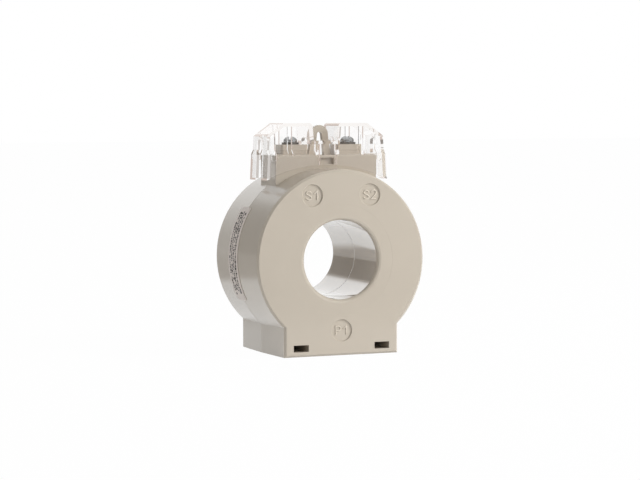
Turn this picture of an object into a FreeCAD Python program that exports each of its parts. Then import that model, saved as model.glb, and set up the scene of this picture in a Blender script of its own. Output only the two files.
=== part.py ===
import FreeCAD, Part
import math
import os
import Sketcher

# Ring-type current transformer for a cable, with a clear sealable terminal cover.
# Millimetres. Origin: on the axis of the cable window, at mid depth. +Z is up, the front face looks to -Y,
# and terminal S1 is on the -X side.

DRIVING_SIZES = [
    # case halves
    ("window_radius", 14.0),
    ("ring_width", 17.8),
    ("ring_draft", 0.6),
    ("case_depth", 41.4),
    ("case_wall", 2.0),
    ("outline_bevel", 0.7),
    ("lip_round", 1.3),
    ("foot_width", 43.4),
    ("foot_draft", 0.7),
    ("foot_below_ring", 1.9),
    ("foot_slot_width", 5.7),
    ("foot_slot_height", 2.4),
    ("foot_slot_spacing", 30.9),
    ("foot_slot_rise", 3.0),
    ("foot_slot_depth", 14.0),
    ("seam_rim_width", 0.8),
    ("seam_rim_height", 1.0),
    ("seam_bevel", 0.15),
    ("fit_gap", 0.1),
    # terminal block of the case
    ("block_width", 38.8),
    ("block_depth", 14.3),
    ("block_above_ring", 4.9),
    ("block_round", 0.5),
    ("chimney_wall", 2.0),
    ("notch_width", 5.5),
    ("notch_height", 2.3),
    ("notch_depth", 1.2),
    ("notch_below_top", 1.0),
    # recessed discs for the terminal marks
    ("mark_radius", 3.8),
    ("mark_depth", 0.5),
    ("mark_rim_bevel", 0.2),
    ("mark_spacing", 22.0),
    ("mark_inset", 9.0),
    ("primary_mark_inset", 6.9),
    # terminal carrier
    ("carrier_thickness", 3.6),
    ("carrier_rim", 1.0),
    ("terminal_spacing", 22.1),
    ("island_spacing", 21.2),
    ("island_width", 10.4),
    ("island_depth", 6.4),
    ("island_height", 3.7),
    ("island_round", 1.0),
    ("eye_height", 10.6),
    ("eye_thickness", 1.8),
    ("eye_foot_width", 8.4),
    ("eye_top_width", 6.6),
    ("eye_hole_height", 8.2),
    ("eye_hole_foot_width", 3.3),
    ("eye_hole_top_width", 1.9),
    # terminals
    ("thread_diameter", 3.0),
    ("thread_gap", 0.05),
    ("screw_length", 6.0),
    ("screw_tip", 0.45),
    ("head_diameter", 5.0),
    ("head_height", 2.1),
    ("head_round", 0.9),
    ("drive_slot_width", 0.8),
    ("drive_slot_depth", 0.9),
    ("drive_cross_width", 2.8),
    ("washer_diameter", 6.2),
    ("washer_thickness", 0.75),
    ("washer_hole_gap", 0.15),
    ("insert_diameter", 4.6),
    ("insert_length", 6.4),
    ("insert_groove", 0.3),
    ("insert_groove_start", 2.1),
    ("insert_groove_end", 3.5),
    ("tag_diameter", 4.2),
    ("tag_thickness", 0.4),
    ("lead_diameter", 1.6),
    ("lead_passage_width", 4.4),
    # clear cover
    ("cover_wall", 1.2),
    ("cover_face_wall", 0.9),
    ("cover_gap", 0.25),
    ("cover_wire_gap", 2.6),
    ("cover_rise", 11.3),
    ("cover_shoulder_rise", 7.2),
    ("cover_shoulder_inset", 0.6),
    ("cover_slope_inset", 0.5),
    ("cover_flare", 0.75),
    ("cover_bend", 16.1),
    ("cover_skirt_drop", 8.8),
    ("cover_over_ring", 0.8),
    ("cover_corner_round", 1.3),
    ("waist_height", 1.7),
    ("waist_inset", 1.65),
    ("bridge_rise", 5.1),
    ("valley_bottom_width", 9.1),
    ("valley_top_width", 10.2),
    ("eye_window_gap", 0.4),
    ("wire_slot_width", 5.8),
    ("wire_slot_rise", 6.4),
    ("probe_slot_width", 1.7),
    ("probe_slot_position", 13.8),
    ("probe_slot_drop", 0.3),
    ("corner_slot_width", 1.9),
    ("corner_slot_drop", 2.2),
    ("corner_slot_rise", 7.6),
    ("tongue_width", 5.9),
    ("tongue_slit", 0.5),
    ("tongue_nib", 0.18),
    ("nib_side_gap", 0.3),
    # core and winding, from the outside in
    ("wrap_gap", 0.2),
    ("wrap_thickness", 0.4),
    ("layer_gap", 0.1),
    ("winding_thickness", 1.6),
    ("cup_wall", 0.8),
    ("turn_groove", 0.35),
    # side label
    ("label_width", 9.3),
    ("label_offset", 1.85),
    ("label_thickness", 0.12),
    ("label_gap", 0.05),
    ("label_angle", 61.0),
    ("label_centre_angle", 3.5),
    ("label_corner_round", 1.0),
]
TURNS = 60                      # secondary turns, for 300 A to 5 A
LIP_BANDS = 3
FULL_TURN = 360.0
SEAM_RIM_SWEEP = 250.0

doc = FreeCAD.newDocument("current_transformer")
sheet = doc.addObject("Spreadsheet::Sheet", "sizes")
for row, (alias, number) in enumerate(DRIVING_SIZES, start=1):
    sheet.set("A%d" % row, alias)
    sheet.set("B%d" % row, str(number))
    sheet.setAlias("B%d" % row, alias)
doc.recompute()


class Size:
    """A length with its number and the expression that drives it from the sheet."""

    def __init__(self, number, text):
        self.number = number
        self.text = text

    def __add__(self, other):
        other = as_size(other)
        return Size(self.number + other.number, "(%s + %s)" % (self.text, other.text))

    def __sub__(self, other):
        other = as_size(other)
        return Size(self.number - other.number, "(%s - %s)" % (self.text, other.text))

    def __mul__(self, factor):
        factor = as_size(factor)
        return Size(self.number * factor.number, "(%s * %s)" % (self.text, factor.text))

    def __truediv__(self, divisor):
        divisor = as_size(divisor)
        return Size(self.number / divisor.number, "(%s / %s)" % (self.text, divisor.text))

    def __neg__(self):
        return Size(-self.number, "(0 - %s)" % self.text)


def as_size(value):
    if isinstance(value, Size):
        return value
    return Size(float(value), "(%r)" % float(value))


def of_sheet(alias):
    return Size(float(sheet.get(alias)), "sizes.%s" % alias)


def root_of_difference(large, small):
    """Other side of a right triangle: where a circle of radius large stands at distance small."""
    number = math.sqrt(large.number ** 2 - small.number ** 2)
    return Size(number, "sqrt(%s * %s - %s * %s)" % (large.text, large.text, small.text, small.text))


def new_body(label):
    body = doc.addObject("PartDesign::Body", label)
    body.Label = label
    return body


def new_sketch(body, name, role, offset=None):
    """Sketch on an origin plane of its own body, moved along the plane's normal by offset."""
    sketch = body.newObject("Sketcher::SketchObject", name)
    plane = [item for item in body.Origin.OriginFeatures if item.Role == role][0]
    sketch.AttachmentSupport = [(plane, "")]
    sketch.MapMode = "FlatFace"
    if offset is not None:
        sketch.AttachmentOffset = FreeCAD.Placement(FreeCAD.Vector(0, 0, offset.number), FreeCAD.Rotation())
        sketch.setExpression("AttachmentOffset.Base.z", offset.text)
    return sketch


def bind_point(sketch, element, end, across, up):
    for kind, size in (("DistanceX", across), ("DistanceY", up)):
        index = sketch.addConstraint(Sketcher.Constraint(kind, -1, 1, element, end, size.number))
        sketch.setExpression("Constraints[%d]" % index, size.text)


def arc_between(start, end, radius):
    """Arc from start to end. A positive radius bulges to the left of the way from start to end."""
    middle = (start + end) / 2
    chord = end - start
    left = FreeCAD.Vector(-chord.y, chord.x, 0).normalize()
    rise = math.sqrt(max(0.0, radius ** 2 - (chord.Length / 2) ** 2))
    side = 1 if radius > 0 else -1
    centre = middle - left * (side * rise)
    circle = Part.Circle(centre, FreeCAD.Vector(0, 0, 1), abs(radius))
    first, last = circle.parameter(start), circle.parameter(end)
    if side > 0:
        first, last = last, first
    if last < first:
        last += 2 * math.pi
    return Part.ArcOfCircle(circle, first, last)


def draw_outline(sketch, corners, arcs=None):
    """Closed outline through the corners. arcs gives the radius of the arc that leaves a corner, by its index."""
    arcs = arcs or {}
    corners = [(as_size(across), as_size(up)) for across, up in corners]
    points = [FreeCAD.Vector(across.number, up.number, 0) for across, up in corners]
    starts = []
    for index, point in enumerate(points):
        following = points[(index + 1) % len(points)]
        if index in arcs:
            radius = arcs[index]
            element = sketch.addGeometry(arc_between(point, following, radius.number))
            starts.append((element, 2 if radius.number > 0 else 1))
        else:
            starts.append((sketch.addGeometry(Part.LineSegment(point, following)), 1))
    for index, (element, end) in enumerate(starts):
        next_element, next_end = starts[(index + 1) % len(starts)]
        sketch.addConstraint(Sketcher.Constraint("Coincident", element, 3 - end, next_element, next_end))
    for (element, end), (across, up) in zip(starts, corners):
        bind_point(sketch, element, end, across, up)
    for index, radius in arcs.items():
        element = starts[index][0]
        chord = (points[(index + 1) % len(points)] - points[index]).Length
        if near(chord, 2 * abs(radius.number), 1e-6):
            # A half circle is held by the height of its centre, level with both ends.
            level = corners[index][1]
            constraint = sketch.addConstraint(Sketcher.Constraint("DistanceY", -1, 1, element, 3, level.number))
            sketch.setExpression("Constraints[%d]" % constraint, level.text)
        else:
            constraint = sketch.addConstraint(Sketcher.Constraint("Radius", element, abs(radius.number)))
            sketch.setExpression("Constraints[%d]" % constraint, "abs(%s)" % radius.text)


def draw_rectangle(sketch, left, right, bottom, top):
    draw_outline(sketch, [(left, bottom), (right, bottom), (right, top), (left, top)])


def draw_circle(sketch, across, up, radius):
    across, up = as_size(across), as_size(up)
    centre = FreeCAD.Vector(across.number, up.number, 0)
    element = sketch.addGeometry(Part.Circle(centre, FreeCAD.Vector(0, 0, 1), radius.number))
    bind_point(sketch, element, 3, across, up)
    index = sketch.addConstraint(Sketcher.Constraint("Radius", element, radius.number))
    sketch.setExpression("Constraints[%d]" % index, radius.text)


def extrude(body, kind, name, sketch, length, reverse=False, both_ways=False):
    """Pad or Pocket of a sketch. both_ways spreads the length evenly to both sides of the sketch."""
    feature = body.newObject("PartDesign::" + kind, name)
    feature.Profile = sketch
    feature.Length = length.number
    feature.setExpression("Length", length.text)
    feature.Reversed = reverse
    feature.SideType = "Symmetric" if both_ways else "One side"
    sketch.Visibility = False
    return feature


def turn(body, kind, name, sketch, axis, angle=FULL_TURN, both_ways=False):
    """Revolution or Groove of a sketch about one of its own axes."""
    feature = body.newObject("PartDesign::" + kind, name)
    feature.Profile = sketch
    feature.ReferenceAxis = (sketch, [axis])
    feature.Angle = angle
    feature.Midplane = both_ways
    return feature


def edge_names(shape, test):
    return ["Edge%d" % number for number, edge in enumerate(shape.Edges, start=1) if test(edge)]


def soften(body, kind, name, size, test):
    """Fillet or Chamfer on the edges of the body's present shape that pass the test."""
    doc.recompute()
    base = body.Tip
    names = edge_names(base.Shape, test)
    if not names:
        raise RuntimeError("%s %s: no edge found" % (body.Label, name))
    feature = body.newObject("PartDesign::" + kind, name)
    feature.Base = (base, names)
    property_name = "Radius" if kind == "Fillet" else "Size"
    setattr(feature, property_name, size.number)
    feature.setExpression(property_name, size.text)
    return feature


def near(value, target, tolerance=0.01):
    return abs(value - target) < tolerance


def place(body, across=None, depth=None, up=None):
    for axis, size in (("x", across), ("y", depth), ("z", up)):
        if size is not None:
            setattr(body.Placement.Base, axis, size.number)
            body.setExpression("Placement.Base.%s" % axis, size.text)


# Sizes that several pieces share, each worked out from the sheet.
half_depth = of_sheet("case_depth") / 2
window_radius = of_sheet("window_radius")
ring_radius = window_radius + of_sheet("ring_width")
seam_radius = ring_radius + of_sheet("ring_draft")
foot_drop = ring_radius + of_sheet("foot_below_ring")
wall = of_sheet("case_wall")
cavity_inner = window_radius + wall
cavity_outer = ring_radius - wall
cavity_half_depth = half_depth - wall
fit_gap = of_sheet("fit_gap")

block_half_width = of_sheet("block_width") / 2
block_half_depth = of_sheet("block_depth") / 2
block_top = ring_radius + of_sheet("block_above_ring")
chimney_half_width = block_half_width - of_sheet("chimney_wall")
chimney_half_depth = block_half_depth - of_sheet("chimney_wall")
carrier_bottom = block_top - of_sheet("carrier_thickness")
rim = of_sheet("carrier_rim")
rim_bottom = carrier_bottom + rim
rim_top = rim_bottom + rim

terminal_across = of_sheet("terminal_spacing") / 2
island_top = block_top + of_sheet("island_height")
washer_top = island_top + of_sheet("washer_thickness")
shank_radius = of_sheet("thread_diameter") / 2 - of_sheet("thread_gap")
insert_radius = of_sheet("insert_diameter") / 2
insert_bottom = island_top - of_sheet("insert_length")
tag_bottom = insert_bottom - of_sheet("tag_thickness")

wrap_inner = cavity_inner + of_sheet("wrap_gap")
wrap_outer = cavity_outer - of_sheet("wrap_gap")
wrap_half_depth = cavity_half_depth - of_sheet("wrap_gap")
layer_gap = of_sheet("layer_gap")

SIDES = (("s1", -1), ("s2", 1))


# Case halves
def build_case(label, front):
    """One half of the case. The front half lies at -Y, the rear half at +Y, and both stand on the seam plane."""
    body = new_body(label)
    way = -1 if front else 1

    ring = new_sketch(body, label + "_ring_section", "XY_Plane")
    bevel = of_sheet("seam_bevel")
    draw_outline(ring, [
        (window_radius, as_size(0)),
        (seam_radius - bevel, as_size(0)),
        (seam_radius, bevel * way),
        (ring_radius, half_depth * way),
        (window_radius, half_depth * way),
    ])
    turn(body, "Revolution", label + "_ring", ring, "V_Axis")

    half_foot = of_sheet("foot_width") / 2
    foot_top = root_of_difference(ring_radius, half_foot) - wall
    foot = new_sketch(body, label + "_foot_plan", "XY_Plane", -foot_drop)
    wide = half_foot + of_sheet("foot_draft")
    draw_outline(foot, [(-wide, as_size(0)), (wide, as_size(0)), (half_foot, half_depth * way),
                        (-half_foot, half_depth * way)])
    extrude(body, "Pad", label + "_foot", foot, foot_drop - foot_top)

    block = new_sketch(body, label + "_block_outline", "XZ_Plane")
    block_bottom = root_of_difference(ring_radius, block_half_width) - wall
    draw_rectangle(block, -block_half_width, block_half_width, block_bottom, block_top)
    extrude(body, "Pad", label + "_block", block, block_half_depth, reverse=not front)

    # The rounded lip of the window is cut as a few straight bands along its quarter circle.
    lip_round = of_sheet("lip_round")
    lip_start = half_depth - lip_round
    lip = []
    for band in range(1, LIP_BANDS + 1):
        swing = math.radians(90.0 * band / LIP_BANDS)
        lip.append((window_radius + lip_round * (1 - math.cos(swing)),
                    (lip_start + lip_round * math.sin(swing)) * way))
    window = new_sketch(body, label + "_window_section", "XY_Plane")
    draw_outline(window, [(as_size(0), as_size(0)), (window_radius, as_size(0)), (window_radius, lip_start * way)]
                 + lip + [(as_size(0), half_depth * way)])
    turn(body, "Groove", label + "_window", window, "V_Axis")

    cavity = new_sketch(body, label + "_cavity_section", "XY_Plane")
    draw_rectangle(cavity, cavity_inner, cavity_outer, as_size(0), cavity_half_depth * way)
    turn(body, "Groove", label + "_cavity", cavity, "V_Axis")

    chimney = new_sketch(body, label + "_chimney_outline", "XZ_Plane")
    draw_rectangle(chimney, -chimney_half_width, chimney_half_width, carrier_bottom, block_top)
    extrude(body, "Pocket", label + "_chimney", chimney, chimney_half_depth, reverse=front)

    rim_slot = new_sketch(body, label + "_rim_slot_outline", "XZ_Plane")
    reach = chimney_half_width + rim
    draw_rectangle(rim_slot, -reach, reach, rim_bottom, rim_top)
    extrude(body, "Pocket", label + "_rim_slot", rim_slot, chimney_half_depth, reverse=front)

    # Each lead passes through the wall between the ring's cavity and the chimney.
    passage_half = of_sheet("lead_passage_width") / 2
    for name, side in SIDES:
        passage = new_sketch(body, "%s_passage_outline_%s" % (label, name), "XZ_Plane")
        middle = terminal_across * side
        draw_rectangle(passage, middle - passage_half, middle + passage_half,
                       root_of_difference(cavity_outer, terminal_across) - wall, carrier_bottom)
        extrude(body, "Pocket", "%s_passage_%s" % (label, name), passage, passage_half, reverse=front)

    # A low rim on the rear half drops into a groove in the front half. Both stop short of the block.
    seam_mid = (cavity_outer + seam_radius) / 2
    half_rim = of_sheet("seam_rim_width") / 2
    rim_height = of_sheet("seam_rim_height")
    seam_rim = new_sketch(body, label + "_seam_rim_section", "YZ_Plane")
    if front:
        draw_rectangle(seam_rim, -(rim_height + fit_gap), as_size(0),
                       -(seam_mid + half_rim + fit_gap), -(seam_mid - half_rim - fit_gap))
        turn(body, "Groove", label + "_seam_groove", seam_rim, "H_Axis", SEAM_RIM_SWEEP, both_ways=True)
    else:
        draw_rectangle(seam_rim, -rim_height, as_size(0), -(seam_mid + half_rim), -(seam_mid - half_rim))
        turn(body, "Revolution", label + "_seam_rim", seam_rim, "H_Axis", SEAM_RIM_SWEEP, both_ways=True)

    face = half_depth * -way
    marks = [("primary", as_size(0), of_sheet("primary_mark_inset") - ring_radius)]
    if front:
        for name, side in SIDES:
            marks.append((name, of_sheet("mark_spacing") / 2 * side, ring_radius - of_sheet("mark_inset")))
    for name, across, up in marks:
        disc = new_sketch(body, "%s_mark_outline_%s" % (label, name), "XZ_Plane", face)
        draw_circle(disc, across, up, of_sheet("mark_radius"))
        extrude(body, "Pocket", "%s_mark_%s" % (label, name), disc, of_sheet("mark_depth"), reverse=not front)

    slot_half_width = of_sheet("foot_slot_width") / 2
    slot_half_height = of_sheet("foot_slot_height") / 2
    slot_up = of_sheet("foot_slot_rise") - foot_drop
    for name, side in SIDES:
        slot = new_sketch(body, "%s_foot_slot_outline_%s" % (label, name), "XZ_Plane", face)
        middle = of_sheet("foot_slot_spacing") / 2 * side
        draw_rectangle(slot, middle - slot_half_width, middle + slot_half_width,
                       slot_up - slot_half_height, slot_up + slot_half_height)
        extrude(body, "Pocket", "%s_foot_slot_%s" % (label, name), slot, of_sheet("foot_slot_depth"),
                reverse=not front)

    notch = new_sketch(body, label + "_notch_outline", "XZ_Plane", block_half_depth * -way)
    notch_top = block_top - of_sheet("notch_below_top")
    notch_half = of_sheet("notch_width") / 2
    draw_rectangle(notch, -notch_half, notch_half, notch_top - of_sheet("notch_height"), notch_top)
    extrude(body, "Pocket", label + "_notch", notch, of_sheet("notch_depth"), reverse=not front)

    face_y = half_depth.number * way
    mark_width = 2 * of_sheet("mark_radius").number

    def on_mark_rim(edge):
        box = edge.BoundBox
        on_face = near(box.YMin, face_y) and near(box.YMax, face_y)
        return on_face and near(box.XLength, mark_width) and near(box.ZLength, mark_width)

    def on_face_outline(edge):
        box = edge.BoundBox
        middle = edge.valueAt((edge.FirstParameter + edge.LastParameter) / 2)
        on_face = near(box.YMin, face_y) and near(box.YMax, face_y)
        on_ring = near(math.hypot(middle.x, middle.z), ring_radius.number)
        on_foot = near(abs(middle.x), half_foot.number) or near(middle.z, -foot_drop.number)
        return on_face and (on_ring or on_foot)

    def on_block_top(edge):
        box = edge.BoundBox
        front_edge = near(box.YMin, box.YMax) and near(abs(box.YMin), block_half_depth.number)
        side_edge = near(box.XMin, box.XMax) and near(abs(box.XMin), block_half_width.number)
        return near(box.ZMin, block_top.number) and near(box.ZMax, block_top.number) and (front_edge or side_edge)

    soften(body, "Chamfer", label + "_mark_rims", of_sheet("mark_rim_bevel"), on_mark_rim)
    soften(body, "Chamfer", label + "_outline_bevel", of_sheet("outline_bevel"), on_face_outline)
    soften(body, "Fillet", label + "_block_round", of_sheet("block_round"), on_block_top)
    return body


# Terminal carrier: a plate held in the top of the block, two islands and the sealing eye
def build_carrier():
    label = "terminal_carrier"
    body = new_body(label)
    half_width = chimney_half_width - fit_gap
    half_depth_here = chimney_half_depth - fit_gap
    plate = new_sketch(body, "carrier_plate_outline", "XZ_Plane")
    draw_rectangle(plate, -half_width, half_width, carrier_bottom, block_top)
    extrude(body, "Pad", "carrier_plate", plate, half_depth_here * 2, both_ways=True)

    edge_rim = new_sketch(body, "carrier_rim_outline", "XZ_Plane")
    reach = half_width + rim
    draw_rectangle(edge_rim, -reach, reach, rim_bottom + fit_gap, rim_top - fit_gap)
    extrude(body, "Pad", "carrier_rim", edge_rim, half_depth_here * 2, both_ways=True)

    half_island = of_sheet("island_width") / 2
    island_half_depth = of_sheet("island_depth") / 2
    for name, side in SIDES:
        island = new_sketch(body, "island_outline_" + name, "XY_Plane", block_top)
        middle = of_sheet("island_spacing") / 2 * side
        draw_rectangle(island, middle - half_island, middle + half_island, -island_half_depth, island_half_depth)
        extrude(body, "Pad", "island_" + name, island, of_sheet("island_height"))

    def island_corner(edge):
        box = edge.BoundBox
        upright = near(box.ZMin, block_top.number) and near(box.ZMax, island_top.number)
        return upright and near(abs(box.YMin), island_half_depth.number)

    soften(body, "Fillet", "island_corners", of_sheet("island_round"), island_corner)

    eye = new_sketch(body, "eye_outline", "XZ_Plane")
    foot = of_sheet("eye_foot_width") / 2
    top = of_sheet("eye_top_width") / 2
    eye_top = block_top + of_sheet("eye_height")
    draw_outline(eye, [(-foot, block_top), (foot, block_top), (top, eye_top - top), (-top, eye_top - top)],
                 {2: -top})
    extrude(body, "Pad", "eye", eye, of_sheet("eye_thickness"), both_ways=True)

    hole = new_sketch(body, "eye_hole_outline", "XZ_Plane")
    foot = of_sheet("eye_hole_foot_width") / 2
    top = of_sheet("eye_hole_top_width") / 2
    hole_top = block_top + of_sheet("eye_hole_height")
    draw_outline(hole, [(-foot, block_top), (foot, block_top), (top, hole_top - top), (-top, hole_top - top)],
                 {2: -top})
    extrude(body, "Pocket", "eye_hole", hole, of_sheet("eye_thickness"), both_ways=True)

    for name, side in SIDES:
        bore = new_sketch(body, "insert_hole_outline_" + name, "XY_Plane", carrier_bottom)
        draw_circle(bore, terminal_across * side, 0, insert_radius + of_sheet("thread_gap"))
        extrude(body, "Pocket", "insert_hole_" + name, bore,
                of_sheet("carrier_thickness") + of_sheet("island_height"), reverse=True)
    return body


# Terminals: brass insert, solder tag and lead below, washer and screw above
def build_insert(name, side):
    body = new_body("terminal_insert_" + name)
    section = new_sketch(body, "insert_section_" + name, "XZ_Plane")
    bore = of_sheet("thread_diameter") / 2
    groove = of_sheet("insert_groove")
    length = of_sheet("insert_length")
    waist = insert_radius - groove
    start, end = of_sheet("insert_groove_start"), of_sheet("insert_groove_end")
    draw_outline(section, [
        (bore, as_size(0)), (insert_radius, as_size(0)), (insert_radius, start), (waist, start + groove),
        (waist, end), (insert_radius, end + groove), (insert_radius, length), (bore, length),
    ])
    turn(body, "Revolution", "insert_turned_" + name, section, "V_Axis")
    place(body, across=terminal_across * side, up=insert_bottom)
    return body


def build_tag(name, side):
    body = new_body("solder_tag_" + name)
    outline = new_sketch(body, "tag_outline_" + name, "XY_Plane")
    draw_circle(outline, 0, 0, of_sheet("tag_diameter") / 2)
    extrude(body, "Pad", "tag_disc_" + name, outline, of_sheet("tag_thickness"))
    place(body, across=terminal_across * side, up=tag_bottom)
    return body


def build_lead(name, side):
    """Straight insulated lead from the outside of the winding wrap up to the solder tag."""
    body = new_body("lead_" + name)
    bottom = root_of_difference(cavity_outer, terminal_across - of_sheet("lead_diameter") / 2)
    outline = new_sketch(body, "lead_outline_" + name, "XY_Plane", bottom)
    draw_circle(outline, terminal_across * side, 0, of_sheet("lead_diameter") / 2)
    extrude(body, "Pad", "lead_run_" + name, outline, tag_bottom - bottom)
    return body


def build_washer(name, side):
    body = new_body("clamp_washer_" + name)
    outline = new_sketch(body, "washer_outline_" + name, "XY_Plane")
    draw_circle(outline, 0, 0, of_sheet("washer_diameter") / 2)
    draw_circle(outline, 0, 0, shank_radius + of_sheet("washer_hole_gap"))
    extrude(body, "Pad", "washer_disc_" + name, outline, of_sheet("washer_thickness"))
    place(body, across=terminal_across * side, up=island_top)
    return body


def build_screw(name, side):
    """Pan head screw with a cross slot. Its origin is under the head."""
    body = new_body("terminal_screw_" + name)
    section = new_sketch(body, "screw_section_" + name, "XZ_Plane")
    head_radius = of_sheet("head_diameter") / 2
    head_height = of_sheet("head_height")
    tip = of_sheet("screw_tip")
    head_round = of_sheet("head_round")
    half_swing = math.radians(45)
    draw_outline(section, [
        (as_size(0), -of_sheet("screw_length")),
        (shank_radius - tip, -of_sheet("screw_length")),
        (shank_radius, tip - of_sheet("screw_length")),
        (shank_radius, as_size(0)),
        (head_radius, as_size(0)),
        (head_radius, head_height - head_round),
        (head_radius - head_round * (1 - math.cos(half_swing)), head_height - head_round * (1 - math.sin(half_swing))),
        (head_radius - head_round, head_height),
        (as_size(0), head_height),
    ])
    turn(body, "Revolution", "screw_turned_" + name, section, "V_Axis")

    slot_half = of_sheet("drive_slot_width") / 2
    slot = new_sketch(body, "drive_slot_outline_" + name, "XY_Plane", head_height)
    draw_rectangle(slot, -head_radius, head_radius, -slot_half, slot_half)
    extrude(body, "Pocket", "drive_slot_" + name, slot, of_sheet("drive_slot_depth"))
    cross = new_sketch(body, "drive_cross_outline_" + name, "XY_Plane", head_height)
    cross_half = of_sheet("drive_cross_width") / 2
    draw_rectangle(cross, -slot_half, slot_half, -cross_half, cross_half)
    extrude(body, "Pocket", "drive_cross_" + name, cross, of_sheet("drive_slot_depth"))
    place(body, across=terminal_across * side, up=washer_top)
    return body


# Clear cover: two hoods joined by a bridge round the sealing eye
def build_cover():
    label = "terminal_cover"
    body = new_body(label)
    cover_wall = of_sheet("cover_wall")
    face_wall = of_sheet("cover_face_wall")
    top = block_top + of_sheet("cover_rise")
    shoulder = block_top + of_sheet("cover_shoulder_rise")
    flare_top = shoulder - of_sheet("cover_shoulder_inset")
    bend = of_sheet("cover_bend")
    skirt_bottom = block_top - of_sheet("cover_skirt_drop")
    side_bottom = block_half_width + of_sheet("cover_wire_gap") + cover_wall
    side_top = side_bottom - of_sheet("cover_flare")
    shoulder_across = side_top - of_sheet("cover_shoulder_inset")
    bridge_top = block_top + of_sheet("bridge_rise")
    valley_low = of_sheet("valley_bottom_width") / 2
    valley_high = of_sheet("valley_top_width") / 2
    arch_top = seam_radius + of_sheet("cover_over_ring")

    # The skirt passes outside the block. Above the block the hoods step inwards over a sloping waist.
    inner_half_depth = block_half_depth + of_sheet("cover_gap")
    outer_half_depth = inner_half_depth + face_wall
    waist_low = block_top + fit_gap
    waist_high = waist_low + of_sheet("waist_height")
    hood_outer = outer_half_depth - of_sheet("waist_inset")
    hood_inner = hood_outer - face_wall

    # Half width and rise of the lower edge give the radius of its arch.
    rise = arch_top - skirt_bottom
    arch_radius = (side_bottom * side_bottom + rise * rise) / (rise * 2)

    shell = new_sketch(body, "cover_outline", "XZ_Plane")
    draw_outline(shell, [
        (side_bottom, skirt_bottom),
        (side_top, flare_top),
        (shoulder_across, shoulder),
        (bend, top),
        (valley_high, top),
        (valley_low, bridge_top),
        (-valley_low, bridge_top),
        (-valley_high, top),
        (-bend, top),
        (-shoulder_across, shoulder),
        (-side_top, flare_top),
        (-side_bottom, skirt_bottom),
    ], {11: arch_radius})
    extrude(body, "Pad", "cover_shell", shell, outer_half_depth * 2, both_ways=True)

    def valley_corner(edge):
        box = edge.BoundBox
        return near(box.YLength, 2 * outer_half_depth.number) and near(box.ZMin, top.number) \
            and near(abs(box.XMin), valley_high.number)

    soften(body, "Fillet", "cover_valley_round", of_sheet("cover_corner_round"), valley_corner)

    beyond = outer_half_depth + cover_wall
    above = top + cover_wall
    for name, side in SIDES:
        waist = new_sketch(body, "waist_outline_" + name, "YZ_Plane", valley_low * side)
        for way in (-1, 1):
            draw_outline(waist, [(outer_half_depth * way, waist_low), (hood_outer * way, waist_high),
                                 (hood_outer * way, above), (beyond * way, above), (beyond * way, waist_low)])
        extrude(body, "Pocket", "waist_" + name, waist, side_bottom, reverse=side > 0)

    # The hollow follows the outline one wall inside it and is open at the bottom.
    slope_inset = of_sheet("cover_slope_inset")
    hollow = new_sketch(body, "hood_hollow_outline", "XZ_Plane")
    low = skirt_bottom - cover_wall
    inner_bottom = side_bottom - cover_wall
    draw_outline(hollow, [
        (inner_bottom, low),
        (side_top - cover_wall, flare_top),
        (shoulder_across - cover_wall, shoulder - slope_inset),
        (bend - slope_inset, top - cover_wall),
        (valley_high + cover_wall, top - cover_wall),
        (valley_low + cover_wall, bridge_top - cover_wall),
        (-(valley_low + cover_wall), bridge_top - cover_wall),
        (-(valley_high + cover_wall), top - cover_wall),
        (-(bend - slope_inset), top - cover_wall),
        (-(shoulder_across - cover_wall), shoulder - slope_inset),
        (-(side_top - cover_wall), flare_top),
        (-inner_bottom, low),
    ])
    extrude(body, "Pocket", "hood_hollow", hollow, hood_inner * 2, both_ways=True)

    def inner_across(up):
        """Half width between the inner faces of the flared side walls."""
        return inner_bottom - of_sheet("cover_flare") * (up - low) / (flare_top - low)

    skirt_hollow = new_sketch(body, "skirt_hollow_outline", "XZ_Plane")
    draw_outline(skirt_hollow, [(-inner_bottom, low), (inner_bottom, low), (inner_across(waist_low), waist_low),
                                (-inner_across(waist_low), waist_low)])
    extrude(body, "Pocket", "skirt_hollow", skirt_hollow, inner_half_depth * 2, both_ways=True)

    waist_hollow = new_sketch(body, "waist_hollow_outline", "YZ_Plane")
    draw_outline(waist_hollow, [(-inner_half_depth, waist_low), (inner_half_depth, waist_low),
                                (hood_inner, waist_high), (-hood_inner, waist_high)])
    extrude(body, "Pocket", "waist_hollow", waist_hollow, inner_across(waist_high) * 2, both_ways=True)

    # A tongue between two slits hangs from the bridge on each face, with a low nib over the case's notch.
    tongue_half = of_sheet("tongue_width") / 2
    slit_half = tongue_half + of_sheet("tongue_slit")
    slit_top = bridge_top - cover_wall
    bridge_hollow = new_sketch(body, "bridge_hollow_outline", "XZ_Plane")
    draw_rectangle(bridge_hollow, -slit_half, slit_half, low, slit_top)
    extrude(body, "Pocket", "bridge_hollow", bridge_hollow, inner_half_depth * 2, both_ways=True)
    for name, side in SIDES:
        cut = new_sketch(body, "tongue_slit_outline_" + name, "XZ_Plane")
        draw_rectangle(cut, tongue_half * side, slit_half * side, low, slit_top)
        extrude(body, "Pocket", "tongue_slits_" + name, cut, outer_half_depth * 2, both_ways=True)
    nib_half = of_sheet("notch_width") / 2 - of_sheet("nib_side_gap")
    notch_top = block_top - of_sheet("notch_below_top")
    nib_top = notch_top - fit_gap
    nib_bottom = nib_top - of_sheet("notch_height") / 2
    nib_reach = of_sheet("tongue_nib")
    for face_name, face_way in (("front", -1), ("rear", 1)):
        nib = new_sketch(body, "nib_section_" + face_name, "YZ_Plane")
        draw_outline(nib, [(inner_half_depth * face_way, nib_bottom),
                           ((inner_half_depth - nib_reach) * face_way, nib_top),
                           (inner_half_depth * face_way, nib_top)])
        extrude(body, "Pad", "nib_" + face_name, nib, nib_half * 2, both_ways=True)

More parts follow.
